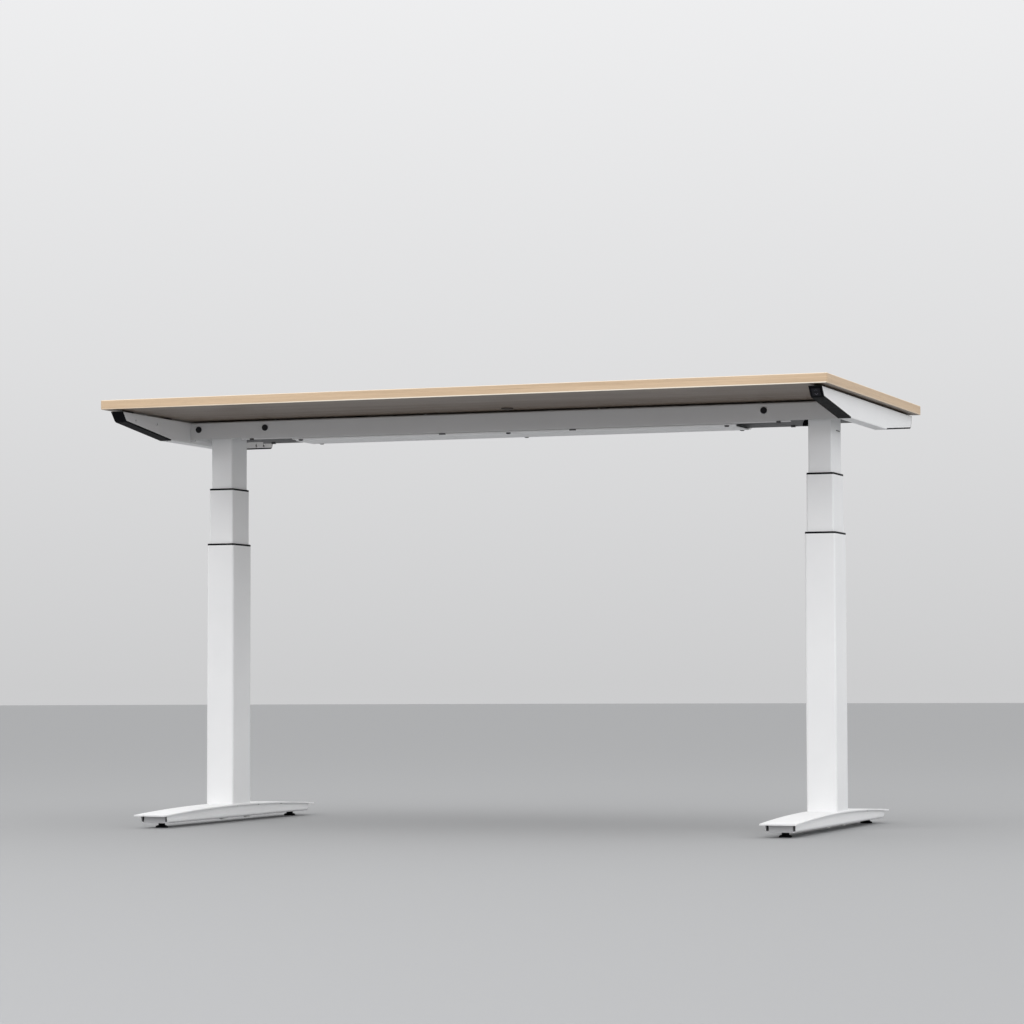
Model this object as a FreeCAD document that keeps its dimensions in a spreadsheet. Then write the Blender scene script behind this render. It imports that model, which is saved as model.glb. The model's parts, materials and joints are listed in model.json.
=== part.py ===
import FreeCAD, Part
import math
import os
import re
import Sketcher

# Height-adjustable standing desk, in millimetres.
# Frame: +X along the length, -Y is the user's side, +Z up.
# Origin: on the floor, under the middle of the desk.

# ---------------------------------------------------------------- driving dimensions
SIZES = {
    # tabletop board with a glued edge band
    "top_length": 1600, "top_depth": 800, "top_thick": 20, "top_surface": 912,
    "band_thick": 2, "band_corner": 3, "band_round": 1.2,
    # the painted steel frame hangs below the board on rubber pads
    "pad_gap": 3.5, "pad_size": 18, "sheet": 2.5,
    # side brackets: folded channels with drooping noses
    "bracket_outer": 784, "bracket_width": 27, "nose_end": 384, "nose_knee": 364,
    "nose_drop": 21.5, "knee_round": 14, "rear_knee": 372, "rear_drop": 28, "rear_round": 11,
    "rear_taper": 0.25,
    "flat_half": 152, "bracket_drop": 46.5, "fold_round": 2, "cap_thick": 3, "cap_tongue": 9,
    "cap_gap": 0.3, "cap_edge": 0.8, "tie_y": 250,
    # crossbeam: inverted channel that the columns nest in
    "beam_front": 58, "beam_drop": 42, "beam_round": 4, "lip_round": 3, "flange_front": 18,
    "flange_rear": 14, "flange_half": 510, "notch_width": 114, "notch_rise": 4,
    "plug_radius": 7, "plug_hole": 5.6, "plug_drop": 16, "plug_outer": 736,
    "plug_inner": 573, "grommet_radius": 14, "grommet_skin": 0.8, "grommet_rise": 2.5,
    "grommet_x": 640, "clip_x": 605,
    # cable pan screwed under the crossbeam
    "pan_half": 507, "pan_sheet": 2, "pan_step": 2.4, "pan_screw_x": 490,
    "screw_radius": 2.5, "screw_head": 5, "screw_head_high": 3, "screw_bite": 13,
    "fit_gap": 0.1,
    # telescopic columns, three tubes each
    "column_x": 688, "outer_x": 65.5, "outer_y": 92, "outer_round": 5, "outer_wall": 2.5,
    "outer_low": 35.4, "outer_top": 614, "collar_high": 4, "collar_gap": 0.3,
    "middle_x": 58, "middle_y": 85.5, "middle_round": 4, "middle_wall": 2,
    "middle_low": 168, "middle_top": 737, "inner_x": 50.5, "inner_y": 79,
    "inner_round": 3.5, "inner_wall": 2, "inner_low": 300, "slider_high": 60,
    "drain_drop": 17, "drain_long": 41, "drain_high": 2.4,
    "slider_gap": 0.1, "head_plate": 5, "head_half_x": 58, "head_half_y": 54,
    "slot_half": 4, "bolt_radius": 3, "bolt_head": 5.5, "bolt_head_high": 4,
    # lifting train inside each column
    "support_radius": 15, "support_bore": 13, "support_top": 395, "nut_high": 35,
    "hollow_radius": 10, "hollow_low": 176, "hollow_high": 395, "drive_radius": 6,
    "drive_low": 322, "drive_high": 420, "thread_gap": 0.05, "motor_radius": 19,
    "motor_high": 150, "gearbox_radius": 20.5, "gearbox_high": 48,
    # feet
    "foot_length": 762, "foot_width": 75, "cover_thick": 3, "foot_tip": 28.5,
    "foot_rise": 10.5, "foot_low": 10.5, "foot_body": 63, "foot_setback": 17,
    "foot_round": 6, "foot_lean": 5, "cover_round": 0.8, "end_recess": 6, "end_gap": 4,
    "end_tail": 18, "slit_half": 4, "slit_high": 1.6, "plate_thick": 8, "plate_web": 4,
    "plate_half_x": 25, "plate_half_y": 78, "foot_bolt_x": 15, "foot_bolt_y": 62,
    "foot_bolt": 4, "foot_bolt_head": 6.5, "foot_bolt_high": 3.5,
    "glide_y": 325, "glide_radius": 13, "glide_tread": 3, "glide_nut": 8, "glide_stud": 4, "stud_top": 25.5,
    "insert_radius": 8, "insert_high": 8,
    # control box, its mains inlet and the leads
    "box_half": 130, "box_half_y": 42, "box_low": 855, "box_high": 28,
    "box_shell": 2, "lead_radius": 2.4, "inlet_half": 14, "inlet_deep": 20,
    # keys in the nose of the right front cap
    "key_x": 17, "key_tall": 8.6, "key_pitch": 9.6, "key_shift": -1, "key_proud": 1.2,
    "key_gap": 0.3, "key_flange": 1.1, "key_travel": 1, "board_thick": 1.6,
    # small round plug in the underside of the board
    "disc_x": 19, "disc_y": -105, "disc_radius": 13, "disc_thick": 2.5,
    "disc_stem": 9, "disc_deep": 8,
}

# heights and spans worked out from the driving dimensions
DERIVED = {
    "underside": "=top_surface - top_thick",
    "frame_top": "=underside - pad_gap",
    "beam_low": "=frame_top - beam_drop",
    "bracket_low": "=frame_top - bracket_drop",
    "beam_half": "=bracket_outer - bracket_width",
    "plate_low": "=frame_top - sheet - head_plate",
    "nose_angle": "=atan(nose_drop / (nose_end - nose_knee))",
    "rear_angle": "=atan(rear_drop / (nose_end - rear_knee))",
    "arch_top": "=foot_tip + foot_rise",
    "foot_floor": "=foot_low + sheet",
    "body_half": "=foot_length / 2 - foot_setback",
    "end_half": "=foot_body / 2 - sheet - end_gap",
    "pan_top": "=beam_low",
    "motor_top": "=plate_low - 8",
}

SIDES = {"left": "-1", "right": "1"}
ENDS = {"front": "-1", "rear": "1"}

doc = FreeCAD.newDocument("StandingDesk")
dims = doc.addObject("Spreadsheet::Sheet", "Dims")
for row, (alias, value) in enumerate({**SIZES, **DERIVED}.items(), start=1):
    dims.set(f"A{row}", alias)
    dims.set(f"B{row}", str(value))
    dims.setAlias(f"B{row}", alias)
doc.recompute()

subparts = []


# ---------------------------------------------------------------- helpers
def named(formula):
    """Put the sheet's name in front of every alias in a formula."""
    known = lambda word: f"Dims.{word}" if word in SIZES or word in DERIVED else word
    return re.sub(r"[a-z_]+", lambda match: known(match.group()), str(formula))


def bind(item, path, formula):
    item.setExpression(path, named(formula))


def size(alias):
    """A sheet value as a plain number, for shapes made with Part's own functions."""
    return float(getattr(dims, alias))


def place(item, x="0", y="0", z="0"):
    for path, formula in (("x", x), ("y", y), ("z", z)):
        bind(item, f"Placement.Base.{path}", formula)
    return item


def in_order(sign, outer, inner):
    """Two formulas on the side of sign, the lower value first."""
    return (outer, inner) if sign == "-1" else (inner, outer)


def block(x, y, z):
    """A box from its low and high formulas along each axis."""
    item = doc.addObject("Part::Box", "Block")
    for path, (low, high) in (("Length", x), ("Width", y), ("Height", z)):
        bind(item, path, f"({high}) - ({low})")
    return place(item, x[0], y[0], z[0])


TURNS = {
    "X": FreeCAD.Rotation(FreeCAD.Vector(0, 1, 0), 90),
    "Y": FreeCAD.Rotation(FreeCAD.Vector(1, 0, 0), -90),
    "Z": FreeCAD.Rotation(),
}


def rod(radius, start, length, axis="Z"):
    """A cylinder that begins at start and runs along +axis."""
    item = doc.addObject("Part::Cylinder", "Rod")
    item.Placement = FreeCAD.Placement(FreeCAD.Vector(), TURNS[axis])
    bind(item, "Radius", radius)
    bind(item, "Height", length)
    return place(item, *start)


def join(*pieces):
    item = doc.addObject("Part::MultiFuse", "Join")
    item.Shapes = list(pieces)
    return item


def cut(base, *tools):
    item = doc.addObject("Part::Cut", "Cut")
    item.Base = base
    item.Tool = join(*tools) if len(tools) > 1 else tools[0]
    return item


def group(pieces):
    """Identical loose pieces that share one node."""
    item = doc.addObject("Part::Compound", "Group")
    item.Links = list(pieces)
    return item


def keep(node, item):
    """Name a finished sub-part; its name is also its file's name."""
    item.Label = node
    subparts.append(item)
    return item


shared = {}


def share(node, *pieces):
    """Collect alike pieces of one rigid body; each set becomes one node at the end."""
    shared.setdefault(node, []).extend(pieces)


def new_body(node):
    return keep(node, doc.addObject("PartDesign::Body", "Body"))


def new_sketch(body, role):
    sketch = body.newObject("Sketcher::SketchObject", "Sketch")
    plane = next(item for item in body.Origin.OriginFeatures if item.Role == role)
    sketch.AttachmentSupport = [(plane, "")]
    sketch.MapMode = "FlatFace"
    return sketch


def fix_point(sketch, geometry, position, u, v):
    """Bind a sketch point's two coordinates to formulas."""
    for kind, formula in (("DistanceX", u), ("DistanceY", v)):
        index = sketch.addConstraint(Sketcher.Constraint(kind, -1, 1, geometry, position, 1.0))
        sketch.setExpression(f"Constraints[{index}]", named(formula))


def outline(body, role, corners, via=None):
    """A closed outline through the corners; via makes an edge an arc through a point."""
    via = via or {}
    sketch = new_sketch(body, role)
    fixed = list(corners) + list(via.values())
    for index, (u, v) in enumerate(fixed):
        angle = 2 * math.pi * index / len(fixed)
        start = FreeCAD.Vector(100 * math.cos(angle), 100 * math.sin(angle), 0)
        sketch.addGeometry(Part.Point(start), True)
        fix_point(sketch, index, 1, u, v)
    sketch.recompute()
    spot = [sketch.getPoint(index, 1) for index in range(len(fixed))]
    through = {edge: len(corners) + order for order, edge in enumerate(via)}
    for index in range(len(corners)):
        after = (index + 1) % len(corners)
        if index in via:
            bulge = spot[through[index]]
            ends = [index, after]
            if (bulge - spot[index]).cross(spot[after] - bulge).z < 0:
                ends.reverse()
            curve = Part.Arc(spot[ends[0]], bulge, spot[ends[1]])
            edge = sketch.addGeometry(curve, False)
            for position, corner in enumerate(ends, start=1):
                joint = Sketcher.Constraint("Coincident", edge, position, corner, 1)
                sketch.addConstraint(joint)
            on_arc = Sketcher.Constraint("PointOnObject", through[index], 1, edge)
            sketch.addConstraint(on_arc)
        else:
            edge = sketch.addGeometry(Part.LineSegment(spot[index], spot[after]), False)
            sketch.addConstraint(Sketcher.Constraint("Coincident", edge, 1, index, 1))
            sketch.addConstraint(Sketcher.Constraint("Coincident", edge, 2, after, 1))
    return sketch


def rectangle(body, role, u, v):
    """A rectangle from its low and high formulas; it may be one of several in a sketch."""
    return outline(body, role, [(u[0], v[0]), (u[1], v[0]), (u[1], v[1]), (u[0], v[1])])


def rounded(body, half_u, half_v, radius):
    """A rectangle about the origin of the XY plane, with rounded corners."""
    flat_u = f"({half_u}) - ({radius})"
    flat_v = f"({half_v}) - ({radius})"
    corners = [(f"-({flat_u})", f"-({half_v})"), (flat_u, f"-({half_v})"),
               (half_u, f"-({flat_v})"), (half_u, flat_v),
               (flat_u, half_v), (f"-({flat_u})", half_v),
               (f"-({half_u})", flat_v), (f"-({half_u})", f"-({flat_v})")]
    bulge_u = f"({half_u}) - (1 - sqrt(0.5)) * ({radius})"
    bulge_v = f"({half_v}) - (1 - sqrt(0.5)) * ({radius})"
    via = {1: (bulge_u, f"-({bulge_v})"), 3: (bulge_u, bulge_v),
           5: (f"-({bulge_u})", bulge_v), 7: (f"-({bulge_u})", f"-({bulge_v})")}
    return outline(body, "XY_Plane", corners, via)


def circles(body, role, centres, radius):
    sketch = new_sketch(body, role)
    for index, (u, v) in enumerate(centres):
        start = FreeCAD.Vector(50 * index, 0, 0)
        sketch.addGeometry(Part.Circle(start, FreeCAD.Vector(0, 0, 1), 5), False)
        fix_point(sketch, index, 3, u, v)
        ring = sketch.addConstraint(Sketcher.Constraint("Radius", index, 5.0))
        sketch.setExpression(f"Constraints[{ring}]", named(radius))
    return sketch


def refresh(body, *features):
    """Recompute just the newest features of a body."""
    for feature in features:
        feature.recompute()
    body.recompute()


def pad(body, sketch, length, side="Symmetric", flip=False):
    feature = body.newObject("PartDesign::Pad", "Pad")
    feature.Profile = sketch
    feature.SideType = side
    feature.Reversed = flip
    bind(feature, "Length", length)
    refresh(body, sketch, feature)
    return feature


def pocket(body, sketch, length, side="Symmetric", flip=False):
    before = body.Shape.Volume
    feature = body.newObject("PartDesign::Pocket", "Pocket")
    feature.Profile = sketch
    feature.SideType = side
    feature.Reversed = flip
    bind(feature, "Length", length)
    refresh(body, sketch, feature)
    if body.Shape.Volume > before - 1e-3:
        raise RuntimeError(f"a pocket in {body.Label} cuts nothing")
    return feature


def round_edges(body, radius, wanted):
    """Fillet the edges of the body's tip that the wanted test picks."""
    base = body.Tip
    names = [f"Edge{order}" for order, edge in enumerate(base.Shape.Edges, start=1) if wanted(edge)]
    feature = body.newObject("PartDesign::Fillet", "Fillet")
    feature.Base = (base, names)
    bind(feature, "Radius", radius)
    refresh(body, feature)
    return feature


def runs_along(edge, axis):
    """True for a straight edge that runs along the axis with index 0, 1 or 2."""
    if edge.Curve.TypeId != "Part::GeomLine":
        return False
    direction = edge.Curve.Direction
    return abs(abs((direction.x, direction.y, direction.z)[axis]) - 1) < 1e-6


def tube(node, x_size, y_size, wall, corner, low, high, x):
    """An upright rectangular tube with rounded corners."""
    body = new_body(node)
    outer = rounded(body, f"{x_size} / 2", f"{y_size} / 2", corner)
    pad(body, outer, f"({high}) - ({low})")
    inner = rounded(body, f"{x_size} / 2 - {wall}", f"{y_size} / 2 - {wall}",
                    f"{corner} - {wall}")
    pocket(body, inner, f"2 * (({high}) - ({low}))")
    place(body, x, "0", f"(({low}) + ({high})) / 2")
    return body


# ---------------------------------------------------------------- feet
def arch(body, half, lift):
    """Corners and via point of the foot's arched line, raised by lift."""
    low = f"foot_tip - {lift}"
    return [(f"-({half})", low), (half, low)], ("0", f"arch_top - {lift}")


def foot(side, x):
    half = "foot_length / 2"
    cover = new_body(f"{side}_foot_cover")
    bottom, bottom_via = arch(cover, half, "cover_thick")
    top, top_via = arch(cover, half, "0")
    plate = outline(cover, "YZ_Plane", bottom + top[::-1], {0: bottom_via, 2: top_via})
    pad(cover, plate, "foot_width")
    tip = size("foot_tip")
    round_edges(cover, "cover_round", lambda edge: all(
        abs(vertex.Z - tip) < 1e-3 for vertex in edge.Vertexes) and not runs_along(edge, 0))
    span = ("-(outer_x / 2 + fit_gap)", "outer_x / 2 + fit_gap")
    depth = ("-(outer_y / 2 + fit_gap)", "outer_y / 2 + fit_gap")
    pocket(cover, rectangle(cover, "XY_Plane", span, depth), "4 * arch_top")
    place(cover, x)

    body = new_body(f"{side}_foot_body")
    wide = "foot_body / 2"
    inner = "foot_body / 2 - sheet"
    section = outline(body, "XZ_Plane", [
        (f"-{wide}", "foot_low"), (wide, "foot_low"), (wide, "arch_top"), (inner, "arch_top"),
        (inner, "foot_floor"), (f"-({inner})", "foot_floor"), (f"-({inner})", "arch_top"),
        (f"-{wide}", "arch_top")])
    pad(body, section, "2 * body_half")
    low = size("foot_low")
    floor = size("foot_floor")
    at_height = lambda edge, z: abs(edge.Vertexes[0].Z - z) < 1e-3
    round_edges(body, "foot_round", lambda edge: runs_along(edge, 1) and at_height(edge, low))
    round_edges(body, "foot_round - sheet",
                lambda edge: runs_along(edge, 1) and at_height(edge, floor)
                and abs(abs(edge.Vertexes[0].X) - size("foot_body") / 2 + size("sheet")) < 1e-3)
    above = outline(body, "YZ_Plane", bottom + [(half, "3 * arch_top"), (f"-({half})", "3 * arch_top")],
                    {0: bottom_via})
    pocket(body, above, "2 * foot_body")
    for way in ENDS.values():
        wedge = [(f"{way} * body_half", "arch_top"), (f"{way} * (body_half - foot_lean)", "foot_low"),
                 (f"{way} * (body_half - foot_lean)", "0"), (f"{way} * (body_half + 5)", "0"),
                 (f"{way} * (body_half + 5)", "arch_top")]
        pocket(body, outline(body, "YZ_Plane", wedge), "2 * foot_body")
        floor_end = [f"{way} * (body_half - end_recess - sheet - 1)", f"{way} * (body_half + 5)"]
        open_floor = ("-(end_half + fit_gap)", "end_half + fit_gap")
        span = floor_end[::-1] if way == "-1" else floor_end
        pocket(body, rectangle(body, "XY_Plane", open_floor, span), "2 * (foot_floor + 1)")
    seat = rectangle(body, "YZ_Plane", ("-(outer_y / 2 + fit_gap)", "outer_y / 2 + fit_gap"),
                     ("outer_low - fit_gap", "2 * arch_top"))
    pocket(body, seat, "2 * foot_body")
    for spot in ("-155", "-20", "90", "210"):
        brow = f"foot_tip - cover_thick + foot_rise * (1 - (2 * {spot} / foot_length) ^ 2)"
        slit = rectangle(body, "YZ_Plane", (f"{spot} - slit_half", f"{spot} + slit_half"),
                         (f"{brow} - slit_high", f"{brow} + 3"))
        pocket(body, slit, "2 * foot_body")
    studs = circles(body, "XY_Plane", [("0", "-glide_y"), ("0", "glide_y")],
                    "glide_stud + fit_gap")
    pocket(body, studs, "4 * foot_low")
    bolts = [(u, v) for u in ("-foot_bolt_x", "foot_bolt_x") for v in ("-foot_bolt_y", "foot_bolt_y")]
    pocket(body, circles(body, "XY_Plane", bolts, "foot_bolt + fit_gap"), "4 * foot_low")
    place(body, x)

    # a folded plate closes each end of the foot, with a slot at either edge
    for sign in ENDS.values():
        near = f"{sign} * (body_half - end_recess)"
        far = f"{near} - {sign} * sheet"
        tail = f"{near} - {sign} * end_tail"
        upright = block((f"{x} - end_half", f"{x} + end_half"), in_order(sign, near, far),
                        ("foot_low + fit_gap", "foot_tip - cover_thick + 0.5"))
        tab = block((f"{x} - end_half + 4", f"{x} + end_half - 4"), in_order(sign, near, tail),
                    ("foot_floor", "foot_floor + sheet"))
        share("foot_end_plates", join(upright, tab))

    # base plate and the bolts that clamp the column to the foot
    plate = block((f"{x} - plate_half_x", f"{x} + plate_half_x"),
                  ("-plate_half_y", "plate_half_y"), ("foot_floor", "outer_low"))
    hollow = block((f"{x} - plate_half_x + plate_web", f"{x} + plate_half_x - plate_web"),
                   ("-plate_half_y - 1", "plate_half_y + 1"),
                   ("foot_low", "outer_low - plate_thick"))
    holes = [rod("foot_bolt + fit_gap", (f"{x} + {u}", v, "foot_low"), "outer_low")
             for u, v in bolts]
    share("base_plates", cut(plate, hollow, *holes))
    for u, v in bolts:
        spot = (f"{x} + {u}", v)
        head = rod("foot_bolt_head", (*spot, "foot_low - foot_bolt_high"), "foot_bolt_high")
        shank = rod("foot_bolt", (*spot, "foot_low - foot_bolt_high"),
                    "outer_low - foot_low + foot_bolt_high")
        share("foot_bolts", join(head, shank))


def glides():
    """Four levelling glides, each with its threaded insert in the foot."""
    inserts = []
    for side, sign in SIDES.items():
        for end, way in ENDS.items():
            spot = (f"{sign} * column_x", f"{way} * glide_y")
            shell = rod("insert_radius", (*spot, "foot_floor"), "insert_high")
            bore = rod("glide_stud + thread_gap", (*spot, "foot_low"), "foot_low + insert_high")
            inserts.append(cut(shell, bore))
            tread = rod("glide_radius", (*spot, "0"), "glide_tread")
            dome = doc.addObject("Part::Cone", "Dome")
            bind(dome, "Radius1", "glide_radius")
            bind(dome, "Radius2", "glide_nut + 1")
            bind(dome, "Height", "2")
            place(dome, *spot, "glide_tread")
            nut = doc.addObject("Part::Prism", "Nut")
            nut.Polygon = 6
            bind(nut, "Circumradius", "glide_nut")
            bind(nut, "Height", "foot_low - 0.3 - glide_tread")
            place(nut, *spot, "glide_tread")
            stud = rod("glide_stud", (*spot, "foot_low / 2"), "stud_top - foot_low / 2")
            keep(f"{side}_{end}_glide", join(tread, dome, nut, stud))
    keep("glide_inserts", group(inserts))


# ---------------------------------------------------------------- columns
def collar(x_size, y_size, corner, inner_x, inner_y, inner_corner, low, x):
    """A plastic ring that tops a tube and guides the next one."""
    body = doc.addObject("PartDesign::Body", "Body")
    pad(body, rounded(body, f"{x_size} / 2", f"{y_size} / 2", corner), "collar_high")
    hole = rounded(body, f"{inner_x} / 2 + collar_gap", f"{inner_y} / 2 + collar_gap",
                   f"{inner_corner} + collar_gap")
    pocket(body, hole, "2 * collar_high")
    place(body, x, "0", f"{low} + collar_high / 2")
    return body


def slider(tube_x, tube_y, corner, around_x, around_y, around_wall, low, x):
    """A plastic sleeve round the lower end of a tube, running in the tube outside it."""
    body = doc.addObject("PartDesign::Body", "Body")
    u = f"{around_x} / 2 - {around_wall} - slider_gap"
    v = f"{around_y} / 2 - {around_wall} - slider_gap"
    pad(body, rounded(body, u, v, f"{corner} + 0.5"), "slider_high")
    hole = rounded(body, f"{tube_x} / 2", f"{tube_y} / 2", corner)
    pocket(body, hole, "2 * slider_high")
    place(body, x, "0", f"{low} + slider_high / 2")
    return body


def column(side, x):
    sign = SIDES[side]
    tube(f"{side}_outer_tube", "outer_x", "outer_y", "outer_wall", "outer_round",
         "outer_low", "outer_top", x)
    share("outer_collars", collar("outer_x", "outer_y", "outer_round",
                                  "middle_x", "middle_y", "middle_round", "outer_top", x))
    tube(f"{side}_middle_tube", "middle_x", "middle_y", "middle_wall", "middle_round",
         "middle_low", "middle_top", x)
    keep(f"{side}_middle_collar", collar("middle_x", "middle_y", "middle_round",
                                         "inner_x", "inner_y", "inner_round", "middle_top", x))
    keep(f"{side}_middle_slider", slider("middle_x", "middle_y", "middle_round",
                                         "outer_x", "outer_y", "outer_wall", "middle_low", x))
    inner = tube(f"{side}_inner_tube", "inner_x", "inner_y", "inner_wall", "inner_round",
                 "inner_low", "plate_low", x)
    # a narrow slot near the top of its outer face lets the paint drain
    level = "beam_low - drain_drop - (inner_low + plate_low) / 2"
    drain = rectangle(inner, "YZ_Plane", ("-2", "drain_long - 2"), (level, f"{level} + drain_high"))
    pocket(inner, drain, "inner_x", "One side", sign == "1")
    share("inner_sliders", slider("inner_x", "inner_y", "inner_round",
                                  "middle_x", "middle_y", "middle_wall", "inner_low", x))

    # head plate on the inner tube, slotted for the motor lead
    plate = block((f"{x} - head_half_x", f"{x} + head_half_x"),
                  ("-head_half_y", "head_half_y"), ("plate_low", "plate_low + head_plate"))
    reach = (f"{x} - head_half_x - 1", x) if sign == "1" else (x, f"{x} + head_half_x + 1")
    slot = block(reach, ("-slot_half", "slot_half"), ("plate_low - 1", "frame_top"))
    holes = [rod("bolt_radius + fit_gap", (*spot, "plate_low - 1"), "20") for spot in head_bolts(x)]
    share("head_plates", cut(plate, slot, *holes))

    # lifting train: fixed tube and nut, hollow screw, driven screw, gearmotor
    support = rod("support_radius", (x, "0", "outer_low"), "support_top - outer_low")
    bore = rod("support_bore", (x, "0", "outer_low - 1"), "support_top")
    share("screw_supports", cut(support, bore))
    nut = rod("support_radius", (x, "0", "support_top"), "nut_high")
    thread = rod("hollow_radius + thread_gap", (x, "0", "support_top - 1"), "nut_high + 2")
    share("base_nuts", cut(nut, thread))
    shell = rod("hollow_radius", (x, "0", "hollow_low"), "hollow_high")
    bore = rod("drive_radius + thread_gap", (x, "0", "hollow_low - 1"), "hollow_high + 2")
    keep(f"{side}_hollow_screw", cut(shell, bore))
    keep(f"{side}_drive_screw", rod("drive_radius", (x, "0", "drive_low"), "drive_high"))
    can = rod("motor_radius", (x, "0", "motor_top - motor_high"), "motor_high")
    gearbox = rod("gearbox_radius", (x, "0", "motor_top - motor_high"), "gearbox_high")
    socket = rod("drive_radius + thread_gap", (x, "0", "motor_top - motor_high - 1"),
                 "drive_low + drive_high - motor_top + motor_high + 2")
    share("gearmotors", cut(join(can, gearbox), socket))


def head_bolts(x):
    """The four bolt centres of one head plate."""
    return [(f"{x} + {u}", v) for u in ("-(head_half_x - 12)", "head_half_x - 12")
            for v in ("-(head_half_y - 14)", "head_half_y - 14")]


# ---------------------------------------------------------------- top frame
def nose_point(inset, along, way):
    """A point on the nose-and-slope line of a bracket, moved inwards by inset."""
    end = "nose" if way == "-1" else "rear"
    edge = "1" if way == "-1" else "rear_taper"
    table = {
        "top": (f"nose_end - {edge} * {inset} / cos({end}_angle)", "frame_top"),
        "knee": (f"{end}_knee - {inset} * tan({end}_angle / 2)",
                 f"frame_top - {end}_drop + {inset}"),
        "flat": ("flat_half", f"bracket_low + {inset}"),
    }
    u, v = table[along]
    return (f"{way} * ({u})", v)


def off_line(spot, first, last):
    """How far a spot lies from the line through two others."""
    run = (last[0] - first[0], last[1] - first[1])
    return abs(run[0] * (spot[1] - first[1]) - run[1] * (spot[0] - first[0])) / math.hypot(*run)


def side_bracket(side, sign):
    """A folded channel 27 wide; its drooping ends are left open for the caps."""
    body = new_body(f"{side}_side_bracket")
    points = [nose_point("cap_thick", spot, "-1") for spot in ("top", "knee")]
    points += [("-flat_half", "bracket_low + cap_thick"), ("-flat_half", "bracket_low"),
               ("flat_half", "bracket_low"), ("flat_half", "bracket_low + cap_thick")]
    points += [nose_point("cap_thick", spot, "1") for spot in ("knee", "top")]
    pad(body, outline(body, "YZ_Plane", points), "bracket_width")
    folds = (size("frame_top"), size("bracket_low"))
    round_edges(body, "fold_round", lambda edge: runs_along(edge, 1)
                and min(abs(edge.Vertexes[0].Z - fold) for fold in folds) < 1e-3)
    inside = outline(body, "YZ_Plane", [
        ("-400", "frame_top - sheet"), ("-400", "bracket_low - 5"),
        ("-(flat_half - sheet)", "bracket_low - 5"), ("-(flat_half - sheet)", "bracket_low + sheet"),
        ("flat_half - sheet", "bracket_low + sheet"), ("flat_half - sheet", "bracket_low - 5"),
        ("400", "bracket_low - 5"), ("400", "frame_top - sheet")])
    pocket(body, inside, "bracket_width - 2 * sheet")
    width = "bracket_width / 2 - sheet"
    for way in ENDS.values():
        knee = "nose_knee" if way == "-1" else "rear_knee"
        gap = (f"{way} * ({knee} - 12)", f"{way} * (nose_end + 5)")
        gap = gap[::-1] if way == "-1" else gap
        open_top = rectangle(body, "XY_Plane", (f"-({width})", width), gap)
        pocket(body, open_top, "4 * frame_top")
    drillings = {"2.5": [("-319", "frame_top - 14.5"), ("-218", "frame_top - 15.5")],
                 "3.7": [("286", "frame_top - 26"), ("327", "frame_top - 23.5")]}
    for radius, inner_face in drillings.items():
        holes = circles(body, "YZ_Plane", inner_face, radius)
        pocket(body, holes, "bracket_width", side="One side", flip=side == "left")
    ties = circles(body, "XY_Plane", [("0", "-tie_y"), ("0", "tie_y")], "screw_radius + fit_gap")
    pocket(body, ties, "4 * frame_top")
    bolts = circles(body, "YZ_Plane", end_bolts(), "bolt_radius + fit_gap")
    pocket(body, bolts, "bracket_width", side="One side", flip=side == "left")
    place(body, f"{sign} * (bracket_outer - bracket_width / 2)")


def end_bolts():
    """Centres of the two bolts that tie a bracket to the crossbeam."""
    return [("-32", "frame_top - 21"), ("32", "frame_top - 21")]


def nose_cap(side, sign, end, way):
    """A moulded strip that covers the open nose and slope of a bracket."""
    body = new_body(f"{side}_{end}_cap")
    outer = [nose_point("0", spot, way) for spot in ("top", "knee", "flat")]
    inner = [nose_point("cap_thick", spot, way) for spot in ("flat", "knee", "top")]
    pad(body, outline(body, "YZ_Plane", outer + inner), "bracket_width")
    bend = "nose" if end == "front" else "rear"
    knee = size(f"{bend}_knee")
    low = size("frame_top") - size(f"{bend}_drop")
    at_knee = lambda edge: runs_along(edge, 0) and abs(edge.Vertexes[0].Z - low) < 1e-3 \
        and abs(abs(edge.Vertexes[0].Y) - knee) < 1e-3
    round_edges(body, "knee_round" if end == "front" else "rear_round", at_knee)
    rim = size("bracket_width") / 2
    bends = [(size("nose_end"), size("frame_top")), (knee, low),
             (size("flat_half"), size("bracket_low"))]

    def on_outer_rim(edge):
        middle = edge.valueAt((edge.FirstParameter + edge.LastParameter) / 2)
        spot = (abs(middle.y), middle.z)
        away = min(off_line(spot, first, last) for first, last in zip(bends, bends[1:]))
        bent = edge.Curve.TypeId == "Part::GeomCircle"
        at_side = all(abs(abs(vertex.X) - rim) < 1e-3 for vertex in edge.Vertexes)
        return at_side and (bent or away < 1e-3)

    round_edges(body, "cap_edge", on_outer_rim)
    # ribs that push into the channel along the slope
    tongue = outline(body, "YZ_Plane", [
        (f"{way} * ({bend}_knee - 40)", f"frame_top - {bend}_drop + cap_thick"),
        (f"{way} * (flat_half + 8)", "bracket_low + cap_thick + 0.5"),
        (f"{way} * (flat_half + 8)", "bracket_low + cap_thick + cap_tongue"),
        (f"{way} * ({bend}_knee - 40)", f"frame_top - {bend}_drop + cap_thick + cap_tongue")])
    pad(body, tongue, "bracket_width - 2 * sheet - 2 * cap_gap")
    hollow = outline(body, "YZ_Plane", [
        (f"{way} * ({bend}_knee - 42)", f"frame_top - {bend}_drop + cap_thick + 3"),
        (f"{way} * (flat_half + 10)", "bracket_low + cap_thick + 3"),
        (f"{way} * (flat_half + 10)", "frame_top"),
        (f"{way} * ({bend}_knee - 42)", "frame_top")])
    pocket(body, hollow, "bracket_width - 4 * sheet - 2 * cap_gap")
    place(body, f"{sign} * (bracket_outer - bracket_width / 2)")
    return body


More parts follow.
